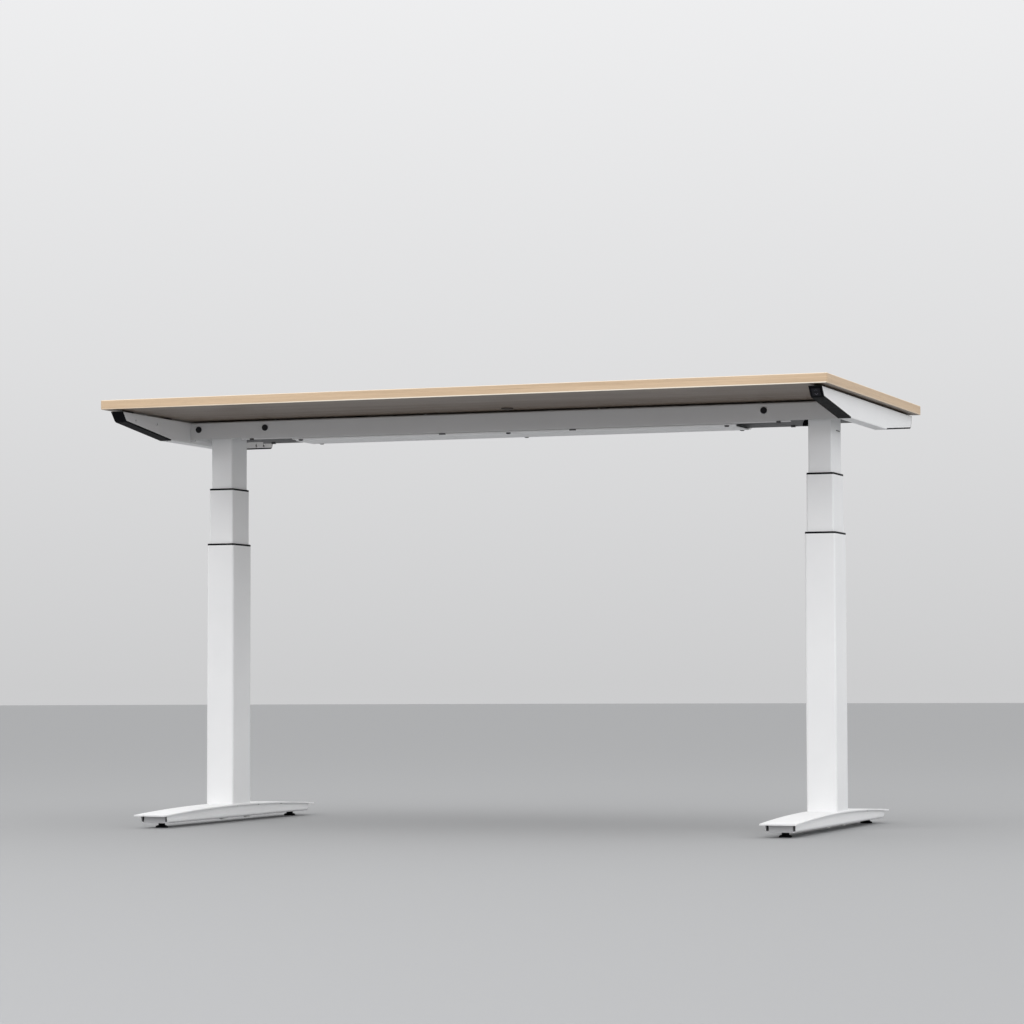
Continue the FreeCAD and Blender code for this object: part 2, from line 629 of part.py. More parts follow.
def crossbeam():
    body = new_body("crossbeam")
    wall = "beam_front - sheet"
    lip = "beam_low + sheet"
    section = outline(body, "YZ_Plane", [
        ("-beam_front", "frame_top"), ("beam_front", "frame_top"), ("beam_front", lip),
        ("beam_front + flange_rear", lip), ("beam_front + flange_rear", "beam_low"),
        (wall, "beam_low"), (wall, "frame_top - sheet"), (f"-({wall})", "frame_top - sheet"),
        (f"-({wall})", lip), ("-(beam_front - flange_front)", lip),
        ("-(beam_front - flange_front)", "beam_low"), ("-beam_front", "beam_low")])
    pad(body, section, "2 * beam_half")
    top = size("frame_top")
    round_edges(body, "beam_round", lambda edge: runs_along(edge, 0)
                and abs(edge.Vertexes[0].Z - top) < 1e-3)
    base = size("beam_low")
    front = -size("beam_front")
    round_edges(body, "lip_round", lambda edge: runs_along(edge, 0)
                and abs(edge.Vertexes[0].Z - base) < 1e-3 and abs(edge.Vertexes[0].Y - front) < 1e-3)
    for sign in SIDES.values():
        ends = [f"{sign} * flange_half", f"{sign} * (beam_half + 5)"]
        span = ends[::-1] if sign == "-1" else ends
        inner = ("-(beam_front - sheet)", "-(beam_front - sheet) + 40")
        pocket(body, rectangle(body, "XY_Plane", span, inner),
               "2 * (beam_low + sheet + 2)")
        outer = ("beam_front", "beam_front + 40")
        pocket(body, rectangle(body, "XY_Plane", span, outer), "2 * (beam_low + sheet + 2)")
        notch = (f"{sign} * column_x - notch_width / 2", f"{sign} * column_x + notch_width / 2")
        pocket(body, rectangle(body, "XZ_Plane", notch, ("beam_low - 5", "beam_low + notch_rise")),
               "400")
    plugs = [(f"{sign} * {spot}", "frame_top - plug_drop")
             for sign in SIDES.values() for spot in ("plug_outer", "plug_inner")]
    pocket(body, circles(body, "XZ_Plane", plugs, "plug_hole"), "200", "One side", True)
    leads_out = [("grommet_x", "beam_low + grommet_rise")]
    pocket(body, circles(body, "XZ_Plane", leads_out, "grommet_radius"), "200", "One side")
    tops = [spot for sign in SIDES.values() for spot in head_bolts(f"{sign} * column_x")]
    pocket(body, circles(body, "XY_Plane", tops, "bolt_radius + fit_gap"), "4 * frame_top")
    pocket(body, circles(body, "XY_Plane", board_screws(), "screw_radius + fit_gap"),
           "4 * frame_top")
    pocket(body, circles(body, "XY_Plane", pan_screws(), "screw_radius"),
           "2 * (beam_low + sheet + 2)")


def board_screws():
    """Centres of the wood screws that hold the board down on the crossbeam."""
    return [(u, v) for u in ("-560", "-200", "200", "560") for v in ("-30", "30")]


def tie_screws():
    """Centres of the wood screws that hold the board down on the brackets."""
    return [(f"{sign} * (bracket_outer - bracket_width / 2)", f"{way} * tie_y")
            for sign in SIDES.values() for way in ENDS.values()]


def pan_screws():
    return [(u, v) for u in ("-pan_screw_x", "0", "pan_screw_x")
            for v in ("-(beam_front - flange_front / 2)", "beam_front + flange_rear / 2")]


def end_plates():
    """Welded plates in the crossbeam's ends, bolted through the brackets."""
    plates = []
    bolts = []
    for sign in SIDES.values():
        far = f"{sign} * beam_half"
        near = f"{sign} * (beam_half - 3)"
        span = (far, near) if sign == "-1" else (near, far)
        plate = block(span, ("-(beam_front - sheet)", "beam_front - sheet"),
                      ("beam_low + notch_rise", "frame_top - sheet"))
        drills = []
        for v, z in end_bolts():
            low = f"{sign} * beam_half - 20"
            drills.append(rod("bolt_radius + fit_gap", (low, v, z), "40", "X"))
            start = f"{sign} * (beam_half + sheet + bolt_head_high)"
            base = start if sign == "-1" else f"{sign} * (beam_half + sheet)"
            head = rod("bolt_head", (base, v, z), "bolt_head_high", "X")
            tip = f"{sign} * (beam_half - 9)"
            reach = "9 + sheet + bolt_head_high"
            shank = rod("bolt_radius", (start if sign == "-1" else tip, v, z), reach, "X")
            bolts.append(join(head, shank))
        plates.append(cut(plate, *drills))
    keep("beam_end_plates", group(plates))
    keep("bracket_bolts", group(bolts))


def cable_pan():
    body = new_body("cable_pan")
    front = "-beam_front"
    rear = "beam_front + flange_rear"
    top = "pan_top"
    skin = "pan_top - pan_sheet"
    low = "pan_top - pan_step"
    floor = "pan_top - pan_step - pan_sheet"
    step = "flange_front + 2"
    section = outline(body, "YZ_Plane", [
        (front, top), (front, skin), (f"{front} + {step} - 1", skin), (f"{front} + {step} + 1", floor),
        (f"{rear} - {step} - 1", floor), (f"{rear} - {step} + 1", skin), (rear, skin), (rear, top),
        (f"{rear} - {step} - 1", top), (f"{rear} - {step} - 3", low),
        (f"{front} + {step} + 3", low), (f"{front} + {step} + 1", top)])
    pad(body, section, "2 * pan_half")
    pocket(body, circles(body, "XY_Plane", pan_screws(), "screw_radius + fit_gap"),
           "4 * frame_top")
    for centre in ("-150", "150"):
        slot = (f"{centre} - 7.5", f"{centre} + 7.5")
        edge = (f"{front} - 5", f"{front} + 3")
        pocket(body, rectangle(body, "XY_Plane", slot, edge), "4 * frame_top")


def round_screws(centres, head_low, shank_high, radius, head_radius, head_high):
    """Button-headed screws driven upwards, head below, with a hexagonal recess."""
    screws = []
    for u, v in centres:
        button = doc.addObject("Part::Cone", "Button")
        bind(button, "Radius1", f"{head_radius} - 1.2")
        bind(button, "Radius2", head_radius)
        bind(button, "Height", "1.2")
        place(button, u, v, head_low)
        head = rod(head_radius, (u, v, f"{head_low} + 1.2"), f"{head_high} - 1.2")
        shank = rod(radius, (u, v, f"{head_low} + 1.2"), f"{shank_high} - ({head_low}) - 1.2")
        recess = doc.addObject("Part::Prism", "Recess")
        recess.Polygon = 6
        bind(recess, "Circumradius", f"0.8 * {radius}")
        bind(recess, "Height", "2.8")
        place(recess, u, v, f"{head_low} - 1")
        screws.append(cut(join(button, head, shank), recess))
    return group(screws)


def fasteners():
    keep("pan_screws", round_screws(
        pan_screws(), "pan_top - pan_sheet - screw_head_high", "beam_low + 9",
        "screw_radius", "screw_head", "screw_head_high"))
    keep("board_screws", round_screws(
        board_screws() + tie_screws(), "frame_top - sheet - screw_head_high",
        "underside + screw_bite",
        "screw_radius", "screw_head", "screw_head_high"))
    tops = [spot for sign in SIDES.values() for spot in head_bolts(f"{sign} * column_x")]
    keep("head_bolts", round_screws(
        tops, "plate_low - bolt_head_high", "frame_top + 1",
        "bolt_radius", "bolt_head", "bolt_head_high"))


def beam_fittings():
    plugs = []
    for sign in SIDES.values():
        for spot in ("plug_outer", "plug_inner"):
            u = f"{sign} * {spot}"
            z = "frame_top - plug_drop"
            head = rod("plug_radius", (u, "-beam_front - 1.5", z), "1.5", "Y")
            stem = rod("plug_hole", (u, "-beam_front - 1", z), "sheet + 4", "Y")
            plugs.append(join(head, stem))
    keep("beam_plugs", group(plugs))
    # a soft disc with a thin skin closes the lead's way out in the rear wall
    z = "beam_low + grommet_rise"
    disc = rod("grommet_radius", ("grommet_x", "beam_front - sheet - 1", z), "sheet + 2", "Y")
    dish = rod("grommet_radius - 3", ("grommet_x", "beam_front - sheet - 2", z),
               "sheet + 3 - grommet_skin", "Y")
    below = block(("grommet_x - 20", "grommet_x + 20"), ("beam_front - 20", "beam_front + 20"),
                  ("beam_low - 20", "beam_low"))
    keep("cable_grommet", cut(disc, dish, below))
    # black clips: two hold the pan's front edge, four guard the walls where leads cross
    clips = [block((f"{u} - 7.2", f"{u} + 7.2"), ("-beam_front - 0.8", "-beam_front + 2.8"),
                   ("pan_top - pan_sheet - 0.6", "pan_top")) for u in ("-150", "150")]
    for sign in SIDES.values():
        for way in ENDS.values():
            outer = f"{way} * (beam_front + 1.2)"
            inner = f"{way} * (beam_front - sheet - 1.2)"
            span = (f"{sign} * clip_x - 4.5", f"{sign} * clip_x + 4.5")
            shell = block(span, in_order(way, outer, inner), ("beam_low - 1.4", "beam_low + 3"))
            slit = block((f"{span[0]} - 1", f"{span[1]} + 1"),
                         in_order(way, f"{way} * beam_front", f"{way} * (beam_front - sheet)"),
                         ("beam_low", "beam_low + 4"))
            clips.append(cut(shell, slit))
    keep("edge_clips", group(clips))
    pads = []
    spots = [(f"{sign} * (bracket_outer - bracket_width / 2)", v)
             for sign in SIDES.values() for v in ("-330", "-150", "150", "330")]
    spots += [(u, "0") for u in ("-380", "0", "380")]
    for u, v in spots:
        pads.append(block((f"{u} - pad_size / 2", f"{u} + pad_size / 2"),
                          (f"{v} - pad_size / 2", f"{v} + pad_size / 2"),
                          ("frame_top", "underside")))
    keep("frame_pads", group(pads))


# ---------------------------------------------------------------- tabletop
def tabletop():
    board = new_body("tabletop")
    x = "top_length / 2 - band_thick"
    y = "top_depth / 2 - band_thick"
    sheet = rectangle(board, "XY_Plane", (f"-({x})", x), (f"-({y})", y))
    pad(board, sheet, "top_thick", "One side")
    place(board, "0", "0", "underside")
    tops = circles(board, "XY_Plane", board_screws() + tie_screws(), "screw_radius")
    pocket(board, tops, "screw_bite", "One side", True)
    stem = circles(board, "XY_Plane", [("disc_x", "disc_y")], "disc_stem")
    pocket(board, stem, "disc_deep", "One side", True)

    band = new_body("edge_band")
    x = "top_length / 2"
    y = "top_depth / 2"
    pad(band, rectangle(band, "XY_Plane", (f"-{x}", x), (f"-{y}", y)), "top_thick")
    round_edges(band, "band_corner", lambda edge: runs_along(edge, 2))
    round_edges(band, "band_round", lambda edge: not runs_along(edge, 2)
                and abs(edge.Vertexes[0].Z - edge.Vertexes[-1].Z) < 1e-6)
    x = "top_length / 2 - band_thick"
    y = "top_depth / 2 - band_thick"
    pocket(band, rectangle(band, "XY_Plane", (f"-({x})", x), (f"-({y})", y)), "2 * top_thick")
    place(band, "0", "0", "underside + top_thick / 2")

    head = rod("disc_radius", ("disc_x", "disc_y", "underside - disc_thick"), "disc_thick")
    stem = rod("disc_stem", ("disc_x", "disc_y", "underside - disc_thick"),
               "disc_thick + disc_deep")
    keep("underside_plug", join(head, stem))


# ---------------------------------------------------------------- electrics
def control_box():
    span = ("-box_half", "box_half")
    depth = ("-box_half_y", "box_half_y")
    shell = block(span, depth, ("box_low", "box_low + box_high"))
    room = block(("-box_half + box_shell", "box_half - box_shell"),
                 ("-box_half_y + box_shell", "box_half_y - box_shell"),
                 ("box_low + box_shell", "box_low + box_high - box_shell"))
    mouth = block(("box_half - inlet_deep", "box_half + 1"), ("-inlet_half - 20", "inlet_half - 20"),
                  ("box_low + 4", "box_low + box_high - 4"))
    leads = [rod("lead_radius + fit_gap", (f"{sign} * box_half - 5", "20", "box_low + box_high / 2"),
                 "10", "X") for sign in SIDES.values()]
    keep("control_box", cut(shell, room, mouth, *leads))
    socket = block(("box_half - inlet_deep", "box_half"), ("-inlet_half - 20", "inlet_half - 20"),
                   ("box_low + 4", "box_low + box_high - 4"))
    recess = block(("box_half - inlet_deep + 3", "box_half + 1"),
                   ("-inlet_half - 17.5", "inlet_half - 22.5"),
                   ("box_low + 6.5", "box_low + box_high - 6.5"))
    pins = [block(("box_half - inlet_deep", "box_half - 6"), (f"-20 + {v} - 2", f"-20 + {v} + 2"),
                  (f"box_low + box_high / 2 + {z} - 1", f"box_low + box_high / 2 + {z} + 1"))
            for v, z in ((-6, -2), (0, 2), (6, -2))]
    keep("power_inlet", join(cut(socket, recess), *pins))
    keep("circuit_board", block(("-box_half + 10", "box_half - inlet_deep - 8"),
                                ("-box_half_y + 8", "box_half_y - 8"),
                                ("box_low + 8", "box_low + 9.6")))


def lead_route(sign):
    """Corners of a motor lead: box wall, up to the beam's roof, along it and down the slot."""
    column_x = size("column_x")
    wall = size("box_half")
    high = size("plate_low") + size("lead_radius") + 0.2
    middle = size("box_low") + size("box_high") / 2
    run = [(wall - 4, 20, middle), (wall + 45, 20, middle), (wall + 130, 12, high),
           (wall + 210, 3, high), (column_x - 50, 0, high), (column_x - 6, 0, high),
           (column_x - 6, 0, size("motor_top"))]
    return [FreeCAD.Vector(sign * x, y, z) for x, y, z in run]


def rounded_path(points):
    """Straight runs joined by tangent arcs, each as large as its shorter run allows."""
    edges = []
    start = points[0]
    for before, corner, after in zip(points, points[1:], points[2:]):
        inward = (before - corner).normalize()
        outward = (after - corner).normalize()
        turn = math.pi - inward.getAngle(outward)
        shorter = min((before - corner).Length, (after - corner).Length)
        trim = 0.45 * shorter
        radius = trim / math.tan(turn / 2)
        centre_line = (inward + outward).normalize()
        centre = corner + centre_line * (radius / math.cos(turn / 2))
        first = corner + inward * trim
        last = corner + outward * trim
        middle = centre - centre_line * radius
        edges.append(Part.LineSegment(start, first).toShape())
        edges.append(Part.Arc(first, middle, last).toShape())
        start = last
    edges.append(Part.LineSegment(start, points[-1]).toShape())
    return Part.Wire(edges)


def motor_leads():
    leads = []
    for sign in (-1, 1):
        points = lead_route(sign)
        path = rounded_path(points)
        ring = Part.Circle(points[0], points[1] - points[0], size("lead_radius")).toShape()
        leads.append(path.makePipeShell([Part.Wire(ring)], True, False))
    item = doc.addObject("Part::Feature", "Leads")
    item.Shape = Part.makeCompound(leads)
    keep("motor_leads", item)


# ---------------------------------------------------------------- keys in the right front nose
def on_nose(item, along, depth):
    """Stand a piece on the nose: its own Z points out, Y up the nose; along from mid-nose."""
    item.Placement = FreeCAD.Placement(
        FreeCAD.Vector(), FreeCAD.Rotation(FreeCAD.Vector(1, 0, 0), 180 - size("nose_angle")))
    bind(item, "Placement.Rotation.Angle", "180 deg - nose_angle")
    out = f"({depth})"
    up = f"({along})"
    middle_y = "-(nose_end + nose_knee) / 2"
    middle_z = "frame_top - nose_drop / 2"
    return place(item, "bracket_outer - bracket_width / 2",
                 f"{middle_y} - {out} * sin(nose_angle) - {up} * cos(nose_angle)",
                 f"{middle_z} - {out} * cos(nose_angle) + {up} * sin(nose_angle)")


def nose_block(wide, tall, low, high, along):
    """A box centred on a spot of the nose, between two heights above its surface."""
    body = doc.addObject("PartDesign::Body", "Body")
    sheet = rectangle(body, "XY_Plane", (f"-({wide}) / 2", f"({wide}) / 2"),
                      (f"-({tall}) / 2", f"({tall}) / 2"))
    pad(body, sheet, f"({high}) - ({low})", "One side")
    return on_nose(body, along, low)


KEYS = {"up_key": "key_shift + key_pitch / 2", "down_key": "key_shift - key_pitch / 2"}


def keys(cap):
    cap_item = next(item for item in subparts if item.Label == cap)
    windows = []
    for node, along in KEYS.items():
        face = nose_block("key_x", "key_tall", "-cap_thick", "key_proud", along)
        rim = nose_block("key_x + 1.6", "key_tall + 0.6", "-cap_thick - key_gap - key_flange",
                         "-cap_thick - key_gap", along)
        neck = nose_block("key_x - 1", "key_tall - 1", "-cap_thick - key_gap", "-cap_thick", along)
        keep(node, join(face, rim, neck))
        windows.append(nose_block("key_x + 2 * key_gap", "key_tall + 2 * key_gap",
                                  "-cap_thick - 3", "3", along))
    subparts.remove(cap_item)
    cap_item.Label = "CapBlank"
    keep(cap, cut(cap_item, *windows))
    board_top = "-cap_thick - key_gap - key_flange - key_travel - 0.6"
    board = nose_block("20", "20", f"{board_top} - board_thick", board_top, "key_shift")
    switches = [nose_block("6", "6", board_top, f"{board_top} + 0.5", along)
                for along in KEYS.values()]
    keep("key_board", join(board, *switches))


# ---------------------------------------------------------------- the desk
for side, sign in SIDES.items():
    foot(side, f"{sign} * column_x")
    column(side, f"{sign} * column_x")
    side_bracket(side, sign)
    for end, way in ENDS.items():
        nose_cap(side, sign, end, way)
glides()
crossbeam()
end_plates()
cable_pan()
fasteners()
beam_fittings()
tabletop()
control_box()
motor_leads()
keys("right_front_cap")
for node, pieces in shared.items():
    keep(node, group(pieces))
doc.recompute()

# ---------------------------------------------------------------- checks and export
for item in doc.Objects:
    if "Invalid" in item.State or "Error" in item.State:
        owner = [parent.Label for parent in item.InList]
        raise RuntimeError(f"{item.Label} of {owner} failed: {item.getStatusString()}")
os.makedirs("parts", exist_ok=True)
for item in subparts:
    shape = item.Shape
    if shape.isNull() or not shape.isValid():
        raise RuntimeError(f"{item.Label} has no valid shape")
    shape.exportStep(f"parts/{item.Label}.step")
    print(f"{item.Label}: {len(shape.Solids)} solid(s), {shape.Volume / 1000:.1f} cm3")
print(f"{len(subparts)} sub-parts")
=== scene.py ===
import bmesh
import bpy
import json
import math
from mathutils import Matrix, Vector


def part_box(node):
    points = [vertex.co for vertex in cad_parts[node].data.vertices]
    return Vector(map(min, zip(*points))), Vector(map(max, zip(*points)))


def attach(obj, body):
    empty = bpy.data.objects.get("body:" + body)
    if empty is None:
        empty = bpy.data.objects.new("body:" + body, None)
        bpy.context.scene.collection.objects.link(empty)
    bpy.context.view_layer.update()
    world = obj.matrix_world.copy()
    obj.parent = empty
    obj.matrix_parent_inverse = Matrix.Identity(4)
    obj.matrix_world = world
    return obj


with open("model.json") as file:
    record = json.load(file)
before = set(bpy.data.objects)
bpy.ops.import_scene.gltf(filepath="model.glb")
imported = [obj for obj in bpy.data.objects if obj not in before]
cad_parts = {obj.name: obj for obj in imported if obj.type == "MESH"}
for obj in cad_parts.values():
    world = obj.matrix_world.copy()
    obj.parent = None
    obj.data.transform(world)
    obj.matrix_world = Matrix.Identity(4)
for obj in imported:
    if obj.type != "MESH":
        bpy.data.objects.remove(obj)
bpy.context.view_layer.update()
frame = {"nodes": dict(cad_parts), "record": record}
nodes = frame["nodes"]
scene = bpy.context.scene


# ---------------------------------------------------------------- named values, in metres
CAMERA_PLACE = (2.3506, -6.2730, 0.3048)   # low and to the right, as a visitor kneeling far back
CAMERA_YAW = math.radians(20.625)
CAMERA_PITCH = math.radians(3.169)
CAMERA_ROLL = math.radians(-0.136)
CAMERA_LENS = 108.93                       # millimetres on a sensor of the next line's width
SENSOR_WIDTH = 36
CLIP = (0.05, 200)

FLOOR_RADIUS = 40
ROOM_GLOW = ((0.0, 0.44), (0.10, 0.53), (0.22, 0.62), (0.6, 0.86))   # (height, light) of the room
ROOM_TINT = (1, 1.002, 1.012)
ROOM_STRENGTH = 1.38

COAT_DARK = (0.835, 0.838, 0.840)
COAT_LIGHT = (0.865, 0.867, 0.866)
COAT_DUST = (0.66, 0.66, 0.65)
# grey that a coat is mixed towards as painted shade
SHADE_GREY = (0.40, 0.395, 0.405)
# dark grey painted inside folded parts as shade
INSIDE_SHADE = (0.32, 0.32, 0.325)
SHEET = 0.0025                             # thickness of the folded steel

BAND_LIGHT = (0.70, 0.520, 0.345)
BAND_DARK = (0.55, 0.392, 0.245)
# the band's oak darkened for the top face, which takes more light from above: painted shade
SHADED_TOP_LIGHT = (0.62, 0.458, 0.302)
SHADED_TOP_DARK = (0.47, 0.333, 0.206)
# dark brown painted on the underside as shade
UNDERSIDE_SHADE_DARK = (0.150, 0.110, 0.080)
UNDERSIDE_SHADE_LIGHT = (0.186, 0.140, 0.106)
# pale cream painted as a highlight along the band's arrises
ARRIS_HIGHLIGHT = (1.0, 0.92, 0.78)
LOWER_ARRIS = (-0.0083, -0.0076)           # heights from the band's middle, brightest painted highlight to plain
UPPER_ARRIS = (0.0083, 0.0089)             # the same, plain to brightest painted highlight
FAINT = 0.25                               # share of the painted highlight left where the lower arris's highlight fades
LEFT_FADE = (-0.95, -0.30)                 # where it fades, as shares of the band's half length
RIGHT_FADE = (0.003, 0.001)                # distances from the right end where it fades again

NOSE_SLOPE = math.radians(47.07)           # of the right front cap's nose, where the keys are
NOSE_OUT = Vector((0, -math.sin(NOSE_SLOPE), -math.cos(NOSE_SLOPE)))
NOSE_UP = Vector((0, -math.cos(NOSE_SLOPE), math.sin(NOSE_SLOPE)))
NOSE_MIDDLE = Vector((0.7705, -0.374, 0.87775))
CHEVRON_HALF = 0.0032
CHEVRON_RISE = 0.0026
CHEVRON_STROKE = 0.0010
PRINT_DEPTHS = (0.00112, 0.00128)          # back and front of the print, out from the nose's middle
UP_MARK = 0.0038                           # places of the two marks up the nose
DOWN_MARK = -0.0058


# ---------------------------------------------------------------- camera, floor and light


def add_camera():
    data = bpy.data.cameras.new("camera")
    data.lens = CAMERA_LENS
    data.sensor_width = SENSOR_WIDTH
    data.clip_start, data.clip_end = CLIP
    camera = bpy.data.objects.new("camera", data)
    scene.collection.objects.link(camera)
    turn = Matrix.Rotation(CAMERA_YAW, 4, "Z") @ Matrix.Rotation(math.pi / 2 + CAMERA_PITCH, 4, "X")
    camera.matrix_world = Matrix.Translation(CAMERA_PLACE) @ turn @ Matrix.Rotation(CAMERA_ROLL, 4, "Z")
    scene.camera = camera


def add_floor():
    bpy.ops.mesh.primitive_circle_add(vertices=96, radius=FLOOR_RADIUS, fill_type="NGON")
    floor = bpy.context.object
    floor.name = "floor"
    floor.data.materials.append(floor_paint())


def add_softbox(name, place, aim, size, power, tint):
    data = bpy.data.lights.new(name, "AREA")
    data.shape = "RECTANGLE"
    data.size, data.size_y = size
    data.energy = power
    data.color = tint
    lamp = bpy.data.objects.new(name, data)
    scene.collection.objects.link(lamp)
    lamp.location = place
    lamp.rotation_euler = (Vector(aim) - Vector(place)).to_track_quat("-Z", "Y").to_euler()


def add_lights():
    """A pale room that is brighter towards its ceiling, and four softboxes."""
    world = bpy.data.worlds.new("studio")
    world.use_nodes = True
    tree = world.node_tree
    back = tree.nodes["Background"]
    coords = tree.nodes.new("ShaderNodeTexCoord")
    parts = tree.nodes.new("ShaderNodeSeparateXYZ")
    ramp = tree.nodes.new("ShaderNodeValToRGB")
    tree.links.new(coords.outputs["Generated"], parts.inputs["Vector"])
    tree.links.new(parts.outputs["Z"], ramp.inputs["Fac"])
    tree.links.new(ramp.outputs["Color"], back.inputs["Color"])
    points = ramp.color_ramp.elements
    while len(points) < len(ROOM_GLOW):
        points.new(0.5)
    for point, (height, light) in zip(points, ROOM_GLOW):
        point.position = height
        point.color = (*(light * share for share in ROOM_TINT), 1)
    back.inputs["Strength"].default_value = ROOM_STRENGTH
    scene.world = world
    add_softbox("overhead", (0.3, -1.2, 4.4), (0.1, 0, 0.5), (5.0, 3.0), 30, (1, 0.99, 0.97))
    add_softbox("front", (-1.2, -4.6, 3.4), (0, 0, 0.2), (4.0, 1.8), 40, (1, 0.995, 0.985))
    add_softbox("front_low", (0.0, -5.2, 1.75), (0, 0, 0.6), (4.4, 0.7), 33, (0.965, 0.96, 1))
    add_softbox("right", (5.4, -0.6, 2.0), (0.7, 0, 0.8), (3.4, 1.0), 34, (0.95, 0.975, 1))


# ---------------------------------------------------------------- materials
class Paint:
    """A material under construction: makes nodes and links them in one call."""

    def __init__(self, name):
        self.material = bpy.data.materials.new(name)
        self.material.use_nodes = True
        self.tree = self.material.node_tree
        self.shader = self.tree.nodes["Principled BSDF"]
        self.place = self.node("ShaderNodeTexCoord").outputs["Object"]

    def node(self, kind, **inputs):
        """A new node, with its inputs given by name."""
        made = self.tree.nodes.new(kind)
        for key, value in inputs.items():
            self.put(made.inputs[key.replace("_", " ")], value)
        return made

    def put(self, socket, value):
        """Link a node's output to the socket, or set the socket to a plain value."""
        if isinstance(value, bpy.types.NodeSocket):
            self.tree.links.new(value, socket)
        else:
            socket.default_value = value

    def stretched(self, scale):
        """Object coordinates scaled along each axis."""
        return self.node("ShaderNodeMapping", Vector=self.place, Scale=scale).outputs["Vector"]

    def noise(self, scale, detail, rough=0.5, vector=None, warp=0.0):
        """Noise over object coordinates, or over the vector if one is given."""
        made = self.node("ShaderNodeTexNoise", Vector=vector or self.place, Scale=scale,
                         Detail=detail, Roughness=rough, Distortion=warp)
        return made.outputs["Fac"]

    def ramp(self, value, *stops):
        """A colour ramp from (position, colour) stops."""
        made = self.node("ShaderNodeValToRGB", Fac=value)
        points = made.color_ramp.elements
        while len(points) < len(stops):
            points.new(0.5)
        for point, (position, colour) in zip(points, stops):
            point.position = position
            point.color = (*colour, 1)
        return made.outputs["Color"]

    def grey(self, value, low, high, start, end):
        """Map a value's range from start to end onto the range from low to high."""
        made = self.node("ShaderNodeMapRange", Value=value)
        made.inputs["From Min"].default_value = start
        made.inputs["From Max"].default_value = end
        made.inputs["To Min"].default_value = low
        made.inputs["To Max"].default_value = high
        return made.outputs["Result"]

    def mix(self, fac, first, second):
        """Blend two colours by a factor."""
        made = self.tree.nodes.new("ShaderNodeMix")
        made.data_type = "RGBA"
        self.put(made.inputs["Factor"], fac)
        for socket, value in (("A", first), ("B", second)):
            target = next(s for s in made.inputs if s.name == socket and s.type == "RGBA")
            self.put(target, (*value, 1) if isinstance(value, tuple) else value)
        return next(s for s in made.outputs if s.type == "RGBA")

    def maths(self, operation, first, second):
        """One step of arithmetic on two values."""
        made = self.tree.nodes.new("ShaderNodeMath")
        made.operation = operation
        self.put(made.inputs[0], first)
        self.put(made.inputs[1], second)
        return made.outputs[0]

    def bump(self, height, depth, strength, under=None):
        """Relief of the given depth, laid over another relief if there is one."""
        made = self.node("ShaderNodeBump", Height=height, Strength=strength, Distance=depth)
        if under is not None:
            self.put(made.inputs["Normal"], under)
        return made.outputs["Normal"]

    def finish(self, **inputs):
        """Set the shader's inputs by name and give back the material."""
        for key, value in inputs.items():
            self.put(self.shader.inputs[key.replace("_", " ")], value)
        return self.material


def floor_paint():
    p = Paint("floor_paint")
    fleck = p.noise(700, 2)
    colour = p.ramp(fleck, (0.3, (0.332, 0.335, 0.339)), (0.7, (0.338, 0.341, 0.345)))
    return p.finish(Base_Color=colour, Roughness=0.8, Specular_IOR_Level=0.2)


def within(p, value, low, high):
    """1 where the value lies between low and high, otherwise 0."""
    return p.maths("MULTIPLY", p.maths("GREATER_THAN", value, low), p.maths("LESS_THAN", value, high))


def powder_coat(name, painted_shade=0.0, channel=None):
    """Satin white powder coat: faint orange peel, faint cloudiness, a little dust in the finish.

    The second argument, from 0 to 1, greys the coat as painted shade. channel is (axis, low, high,
    floor, roof) of the space inside a folded part, which is painted dark grey as painted shade."""
    p = Paint(name)
    cloud = p.noise(9, 4)
    speck = p.noise(1400, 2)
    colour = p.ramp(cloud, (0.3, COAT_DARK), (0.7, COAT_LIGHT))
    colour = p.mix(p.grey(speck, 0, 0.10, 0.62, 0.80), colour, COAT_DUST)
    # greying the coat is painted shade
    if painted_shade:
        colour = p.mix(painted_shade, colour, SHADE_GREY)
    if channel:
        # inside the channel the coat is painted dark grey: painted shade
        axis, low, high, floor, roof = channel
        spot = p.node("ShaderNodeSeparateXYZ", Vector=p.place)
        inside_shade = p.maths("MULTIPLY", within(p, spot.outputs[axis], low, high),
                         within(p, spot.outputs["Z"], floor, roof))
        colour = p.mix(inside_shade, colour, INSIDE_SHADE)
    peel = p.bump(p.noise(420, 2, 0.55), 0.00012, 0.5)
    fine = p.bump(p.noise(1900, 2, 0.5), 0.00004, 0.5, peel)
    rough = p.grey(p.noise(60, 3), 0.40, 0.50, 0.3, 0.7)
    return p.finish(Base_Color=colour, Roughness=rough, Normal=fine)


